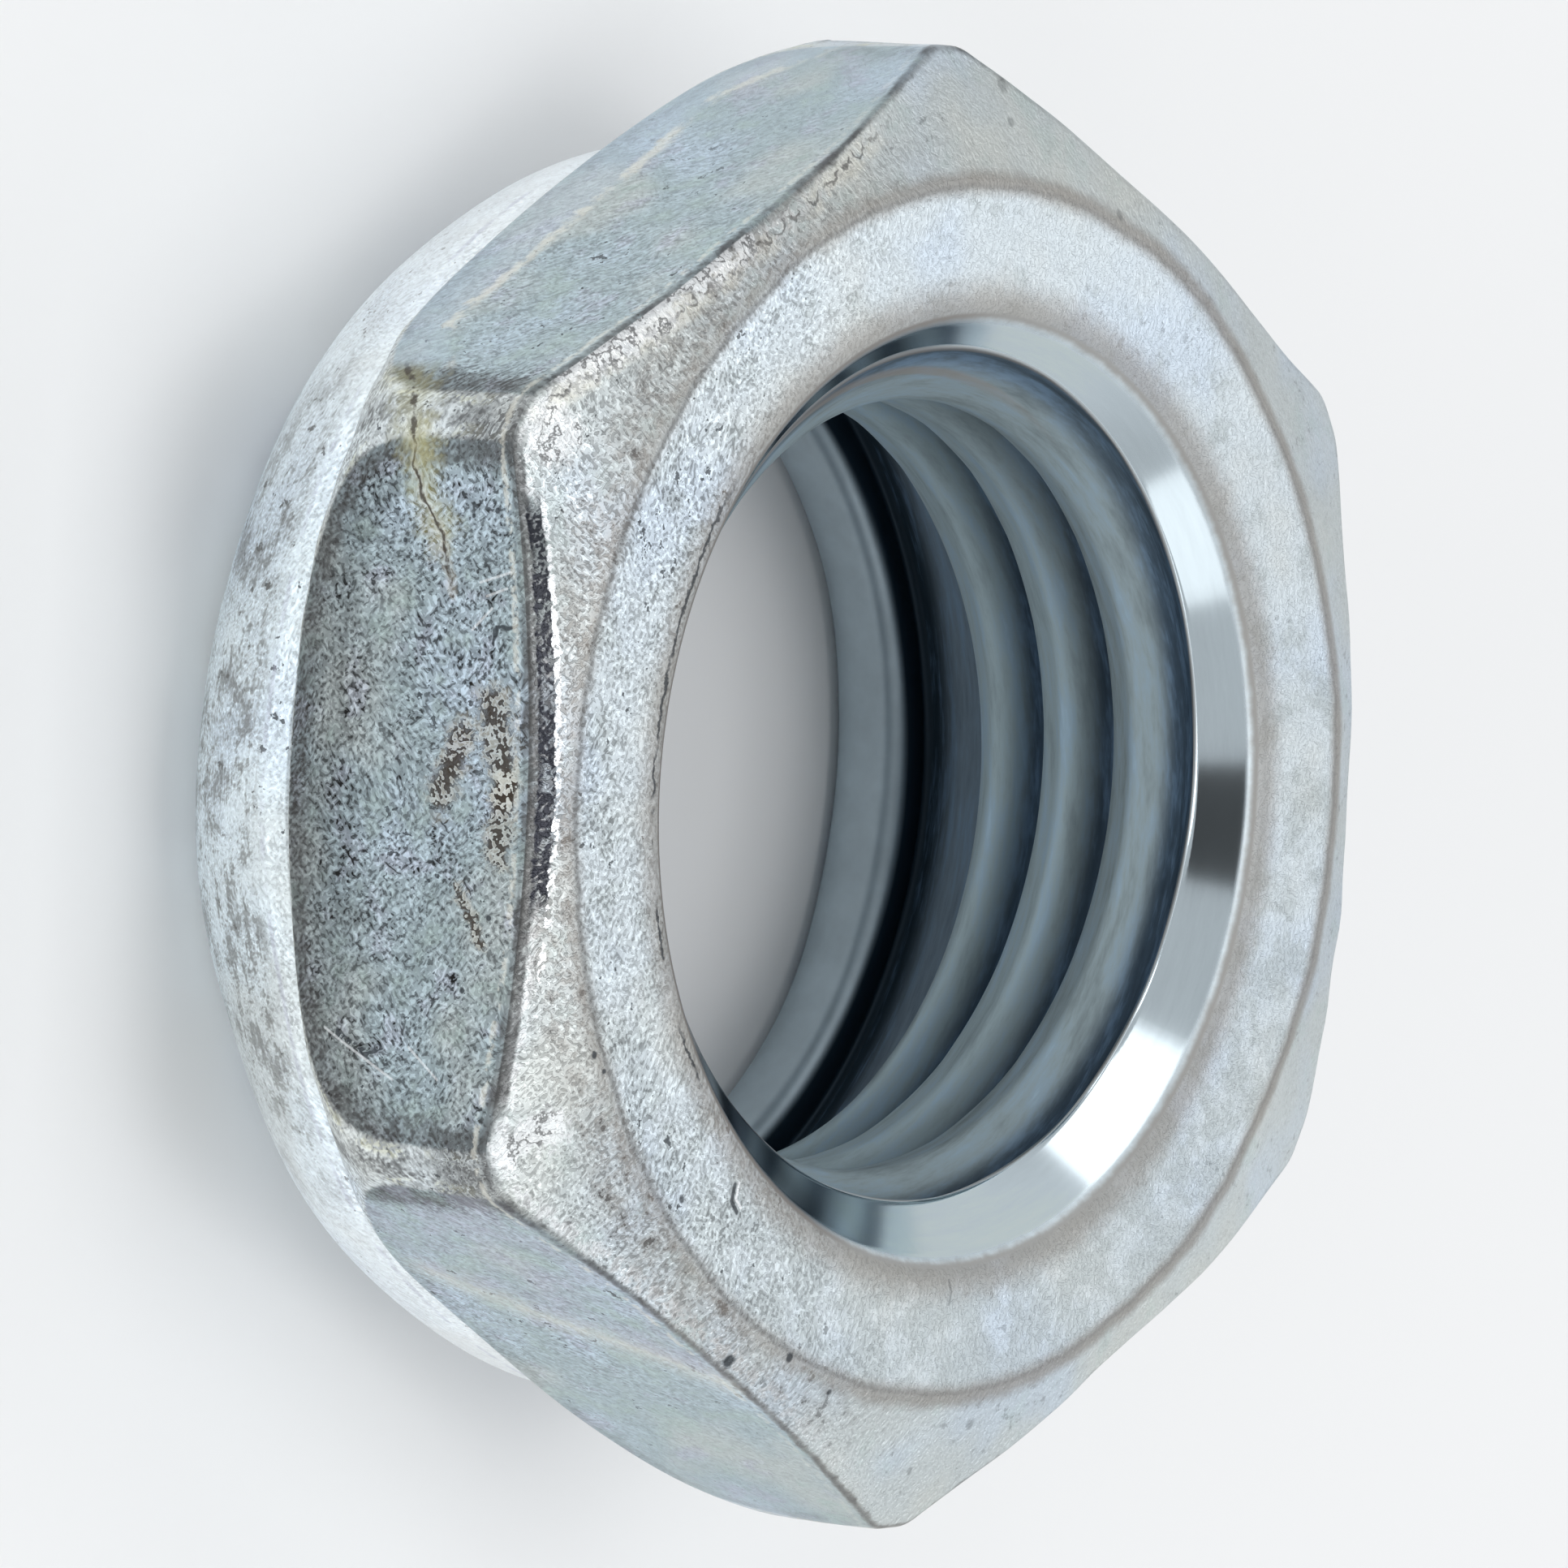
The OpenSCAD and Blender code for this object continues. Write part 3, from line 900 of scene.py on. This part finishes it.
def front_band(f, tone):
    """The torn edge of the flat that faces -X: a dark grey band, a jagged blue-black one beyond it
    that is a painted dark reflection, and a bright bead that is a painted highlight. Returns the
    tone, the band and the bead."""
    ragged = f.front + f.fray * 0.20
    grey = f.band(f.front + f.fray * 0.14, 0.05, 0.12, 0.08) * f.between(f.y, -3.9, 4.5, 0.6)
    tone = f.stain(tone, grey * f.left * (0.84 - 0.3 * f.step(f.curl, 0.5, 0.7)), GRIME_AND_SHADOW)
    # Painted reflection: a jagged blue-black band where the torn facet would reflect dark
    # surroundings
    band = f.between(ragged, REFLECTION_BAND[0], REFLECTION_BAND[1], 0.04) * f.between(f.y, *REFLECTION_BAND_ENDS, 0.5) * f.left
    speckle = f.step(f.fray + (f.curl - 0.5) * 0.5, -0.12, 0.02)
    tone = f.stain(tone, band * (0.55 + 0.42 * speckle), BLUE_BLACK_REFLECTION)
    # Painted highlight: a bright bead along the ridge beside the band
    bead = f.between(ragged, HIGHLIGHT_BEAD[0], HIGHLIGHT_BEAD[1], 0.03) * f.between(f.y, *HIGHLIGHT_BEAD_ENDS, 0.5) * f.left
    torn = f.fray + (f.curl - 0.5) * 0.5 + (f.cloud - 0.5) * 0.35 + f.step(f.y, 0.4, 1.4) * 0.12
    bead = bead * f.step(torn, 0.01, 0.07)
    return f.stain(tone, bead * 0.85, CHALK_AND_HIGHLIGHT), band, bead


def top_marks(f, tone):
    """Marks seen from above: dark spots, a comma-shaped scratch with a bright edge, a short
    crack at the bore and fine parallel scratches on one side of the bearing face."""
    spots = f.stroke(f.above, above(COMMA), 0.050)
    spots = f.most(spots, f.stroke(f.above, above(FACE_CRACK), 0.03))
    for place, radius in DARK_SPOTS:
        away = f.from_point(f.above, (*place, 0.0)) + f.fray * 0.10
        spots = f.most(spots, f.step(away, radius, radius * 0.45))
    tone = f.stain(tone, spots * (0.36 + 0.52 * f.step(f.x, -0.6, -3.0)), PIT)
    tone = f.stain(tone, f.stroke(f.above, above(COMMA_EDGE), 0.03) * 0.8, CHALK_AND_HIGHLIGHT)
    turned = f.node("ShaderNodeVectorRotate", {"rotation_type": "Z_AXIS"},
                    {"Vector": f.above, "Angle": -HATCH_ANGLE})
    fine = f.noise(f.vector("MULTIPLY", turned, (1.6, 15.0, 1.0)), 1.0, 2.0, 0.6) - 0.5
    side = f.bearing * f.step(f.y + f.cloud * 3.0, 1.8, -1.2) * f.near
    return f.shade(tone, 1 + fine * side * 0.8)


def hole_tone(f):
    """The hole: a bright countersink, with a painted dark reflection at the left and painted
    lighter reflection where |y| is large, stained where it ends; thread crests with painted shade
    in the grooves between them, the deeper part painted lighter; a recess darkened by painted shade
    and a painted black shadow in the crevice above the lip. Returns the tone and where the
    countersink is."""
    # Painted shade: the thread's grooves are coloured darker than its crests, a little less towards
    # +Y
    groove = f.step(f.radius, 5.62, 5.96) * (1 - 0.15 * f.step(f.y, 2.0, 4.8))
    thread = f.mix(groove, CREST_TONE, GROOVE_SHADE_TONE)
    # Painted shade: the recess below the thread is coloured darker, and painted shadow makes the
    # crevice at its foot nearly black
    tone = f.mix(f.step(f.z, 3.25, 2.75), thread, RECESS_SHADE_TONE)
    tone = f.mix(f.step(f.z, 2.10, 1.62), tone, CREVICE_SHADOW_TONE)
    streaks = f.noise(f.around(0.6, f.z, 7.0), 1.0, 4.0, 0.74)
    # Painted light: the thread is coloured lighter from 5.7 mm down, where it lies deeper in the
    # bore
    deeper_painted_light = f.step(f.z, 5.7, 5.0) * 0.42
    tone = f.stain(tone, f.step(streaks, 0.45, 0.65) * 0.35, BLUE_SHADE)
    tone = f.shade(tone, 0.24 + streaks * 1.52 + deeper_painted_light)
    on_cone = f.step(f.cone, 0.03, 0.10) * f.step(f.z - f.step(f.y, 1.0, 4.2) * 0.46, 6.48, 6.62)
    # Painted reflection: the countersink is coloured dark towards -X, less so towards +Y, and made
    # lighter where |y| is large
    shaded = f.step(f.x - f.y * 0.117 + f.step(f.y, 0.0, -4.0) * 0.9, 0.0, -1.7)
    sink = f.mix(shaded * (0.85 - 0.20 * f.step(f.y, 0.0, 5.0)), SINK_TONE, SHADE_TONE)
    sink = f.shade(sink, 0.90 + streaks * 0.20)
    sink = f.shade(sink, 1 + f.step(abs(f.y), 4.4, 6.0) * 0.30)
    tone = f.mix(on_cone, tone, sink)
    scuffed = f.band(f.cone, 0.07, 0.03, 0.05) * f.step(f.z, 6.6, 6.8)
    tone = f.stain(tone, scuffed * 0.55, RING_STAIN)
    return f.stain(tone, f.step(f.mouth + f.fray * 0.1, 0.22, 0.06) * 0.8, RING_STAIN), on_cone


def lip_tone(f):
    """The lip's blue-grey land, with painted shadow where it turns into the crevice."""
    # Painted shadow in the crevice where the lip meets the recess wall
    crevice = f.step(f.z, LIP_TOP - 0.10, LIP_TOP - 0.02) * f.step(f.radius, 6.35, 6.50)
    return f.shade(f.mix(crevice, LIP_TONE, CREVICE_SHADOW_TONE), 0.80 + f.cloud * 0.40)


def zinc_finish():
    """Dull blue-white zinc plating with its grain, stains, cracks and worn edges, and with painted
    shade, shadows, reflections and highlights. The collar, the sides, the side that faces -X, the
    top, the hole and the lip are shaders of their own."""
    f = NutFinish("zinc_plated_steel")
    tone, height = grain(f, plating(f))
    bump = f.bump(height)
    collar = f.shader(Base_Color=collar_tone(f, tone), Metallic=COLLAR_METALLIC,
                      Roughness=COLLAR_ROUGHNESS, Normal=bump)
    edged = flat_edges(f, tone)
    side = f.shader(Base_Color=edge_lines(f, edged), Metallic=METALLIC, Roughness=ROUGHNESS,
                    Normal=bump)
    left = f.shader(Base_Color=edge_lines(f, left_marks(f, edged)), Metallic=METALLIC,
                    Roughness=ROUGHNESS, Normal=bump)
    top = chamfer_marks(f, edge_lines(f, tone))
    top, band, bead = front_band(f, ring_marks(f, top))
    near_mouth = f.step(f.mouth, -0.22, -0.05)
    top = f.shader(Base_Color=top_marks(f, top), Metallic=METALLIC, Normal=bump,
                   Roughness=ROUGHNESS - band * 0.16 - bead * 0.20 + near_mouth * 0.20)
    tone, on_cone = hole_tone(f)
    bright = on_cone * f.step(f.mouth, 0.08, 0.24) * f.step(f.cone, 0.10, 0.17)
    hole = f.shader(Base_Color=tone, Metallic=METALLIC + bright * (SINK_METALLIC - METALLIC),
                    Roughness=THREAD_ROUGHNESS - bright * (THREAD_ROUGHNESS - SINK_ROUGHNESS))
    lip = f.shader(Base_Color=lip_tone(f), Metallic=METALLIC, Roughness=ROUGHNESS)
    body = f.blend(f.step(f.seam, 0.04, 0.10), collar, f.blend(f.left, side, left))
    body = f.blend(f.step(f.front, 0.0, 0.02), body, top)
    body = f.blend(f.step(f.mouth, 0.0, 0.06), body, hole)
    on_lip = f.between(f.z, 0.15, LIP_TOP + 0.12, 0.04) * f.step(f.radius, 6.94, 6.90)
    return f.finished(f.blend(on_lip, body, lip))


def floor_finish():
    """Plain pale floor paint."""
    f = Finish("pale_floor")
    return f.finished(f.shader(Base_Color=(0.86, 0.86, 0.86, 1.0), Roughness=0.7))


def card_finish():
    """Dull black card."""
    f = Finish("dark_card")
    return f.finished(f.shader(Base_Color=(0.004, 0.004, 0.005, 1.0), Roughness=0.9))


def make_nut():
    """The nut with its thread, worn edges and finish, in place of the plain solid."""
    points, distance = nut_surface()
    mesh = grid_mesh("lock_nut", points, distance)
    nut = bpy.data.objects.new("lock_nut", mesh)
    bpy.context.scene.collection.objects.link(nut)
    mesh.materials.append(zinc_finish())
    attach(nut, "root")
    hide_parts("nut_body")


# The floor's half width in metres
FLOOR_HALF = 2.0


def make_floor():
    """A plain square on which the nut's rim rests."""
    mesh = bpy.data.meshes.new("floor")
    signs = ((-1, -1), (1, -1), (1, 1), (-1, 1))
    corners = [(x * FLOOR_HALF, y * FLOOR_HALF, 0.0) for x, y in signs]
    mesh.from_pydata(corners, [], [(0, 1, 2, 3)])
    floor = bpy.data.objects.new("floor", mesh)
    bpy.context.scene.collection.objects.link(floor)
    mesh.materials.append(floor_finish())


# The camera, in millimetres and degrees: what it looks at, from where, and how it is turned
CAMERA_AIM = (0.3075, -0.1108, 4.1854)
CAMERA_DISTANCE = 271.33
CAMERA_AZIMUTH = 176.36
CAMERA_ELEVATION = 39.162
CAMERA_ROLL = -94.454
CAMERA_LENS = 450.67
SENSOR_WIDTH = 36.0

# The softboxes: azimuth and elevation in degrees, distance, width and height in metres,
# watts, and how each is turned in degrees
SOFTBOXES = {
    "softbox_back": (-4, 39, 0.9, 0.75, 0.60, 1.0, 0),
    "softbox_above": (176, 84, 0.9, 0.55, 0.55, 3.2, 0),
    "softbox_front": (184, 14, 0.9, 0.80, 0.30, 2.0, 0),
    "softbox_right": (-109, 39, 0.8, 0.38, 0.20, 0.17, 25),
    "softbox_left": (92, 36, 0.8, 0.48, 0.20, 0.36, -28),
    "softbox_low_right": (-118, 6, 0.9, 0.60, 0.20, 1.25, 0),
    "softbox_low_left": (118, 6, 0.9, 0.60, 0.20, 1.25, 0),
}
SURROUND_COLOUR = (0.95, 0.975, 1.0, 1.0)
SURROUND_STRENGTH = 0.55

# The dark card: its width, height and distance in metres, its azimuth and elevation
CARD_SIZE = (0.112, 0.070)
CARD_DISTANCE = 0.30
CARD_HEADING = (172.5, 52.0)


def heading(azimuth, elevation):
    """The unit vector that points to an azimuth from +X and an elevation, in degrees."""
    a, e = math.radians(azimuth), math.radians(elevation)
    return np.array([math.cos(e) * math.cos(a), math.cos(e) * math.sin(a), math.sin(e)])


def aimed(place, aim, roll=0.0):
    """Places an object so that its -Z points at aim, and turns it about that line."""
    back = np.array(place) - np.array(aim)
    back /= np.linalg.norm(back)
    right = np.cross((0.0, 0.0, 1.0), back)
    right /= np.linalg.norm(right)
    up = np.cross(back, right)
    a = math.radians(roll)
    turned_up = up * math.cos(a) + right * math.sin(a)
    turned_right = np.cross(turned_up, back)
    matrix = np.eye(4)
    matrix[:3, 0], matrix[:3, 1], matrix[:3, 2] = turned_right, turned_up, back
    matrix[:3, 3] = place
    return Matrix(matrix.tolist())


def make_camera():
    """The camera at the photograph's viewing angle. The nut lies on its rim, so the
    camera looks down on it and is rolled to keep the hexagon upright in the picture."""
    data = bpy.data.cameras.new("camera")
    data.lens = CAMERA_LENS
    data.sensor_width = SENSOR_WIDTH
    data.clip_start = 0.01
    data.clip_end = 20.0
    camera = bpy.data.objects.new("camera", data)
    bpy.context.scene.collection.objects.link(camera)
    aim = np.array(CAMERA_AIM) * MM
    place = aim + heading(CAMERA_AZIMUTH, CAMERA_ELEVATION) * CAMERA_DISTANCE * MM
    camera.matrix_world = aimed(place, aim, CAMERA_ROLL)
    bpy.context.scene.camera = camera


def make_softbox(name, azimuth, elevation, distance, width, height, watts, roll):
    """A rectangular area light that faces the nut."""
    data = bpy.data.lights.new(name, "AREA")
    data.shape = "RECTANGLE"
    data.size = width
    data.size_y = height
    data.energy = watts
    light = bpy.data.objects.new(name, data)
    bpy.context.scene.collection.objects.link(light)
    place = heading(azimuth, elevation) * distance
    light.matrix_world = aimed(place, (0.0, 0.0, 0.0), roll)


def make_lights():
    """Soft studio light: a pale surround, a large softbox behind the nut, one above it, one
    low in front, one to each side that shows in the countersink, and one low to each side
    that lights the collar."""
    world = bpy.data.worlds.new("surround")
    world.use_nodes = True
    background = world.node_tree.nodes["Background"]
    background.inputs["Color"].default_value = SURROUND_COLOUR
    background.inputs["Strength"].default_value = SURROUND_STRENGTH
    bpy.context.scene.world = world
    for name, setting in SOFTBOXES.items():
        make_softbox(name, *setting)


def make_card():
    """A small dark card near the camera, which shows as a dark patch in the countersink."""
    mesh = bpy.data.meshes.new("dark_card")
    w, h = CARD_SIZE[0] / 2, CARD_SIZE[1] / 2
    mesh.from_pydata([(-w, -h, 0), (w, -h, 0), (w, h, 0), (-w, h, 0)], [], [(0, 1, 2, 3)])
    card = bpy.data.objects.new("dark_card", mesh)
    bpy.context.scene.collection.objects.link(card)
    card.matrix_world = aimed(heading(*CARD_HEADING) * CARD_DISTANCE, (0.0, 0.0, 0.0))
    mesh.materials.append(card_finish())


bpy.context.scene.view_settings.view_transform = "Standard"
make_camera()
make_lights()
make_card()
make_floor()
make_nut()
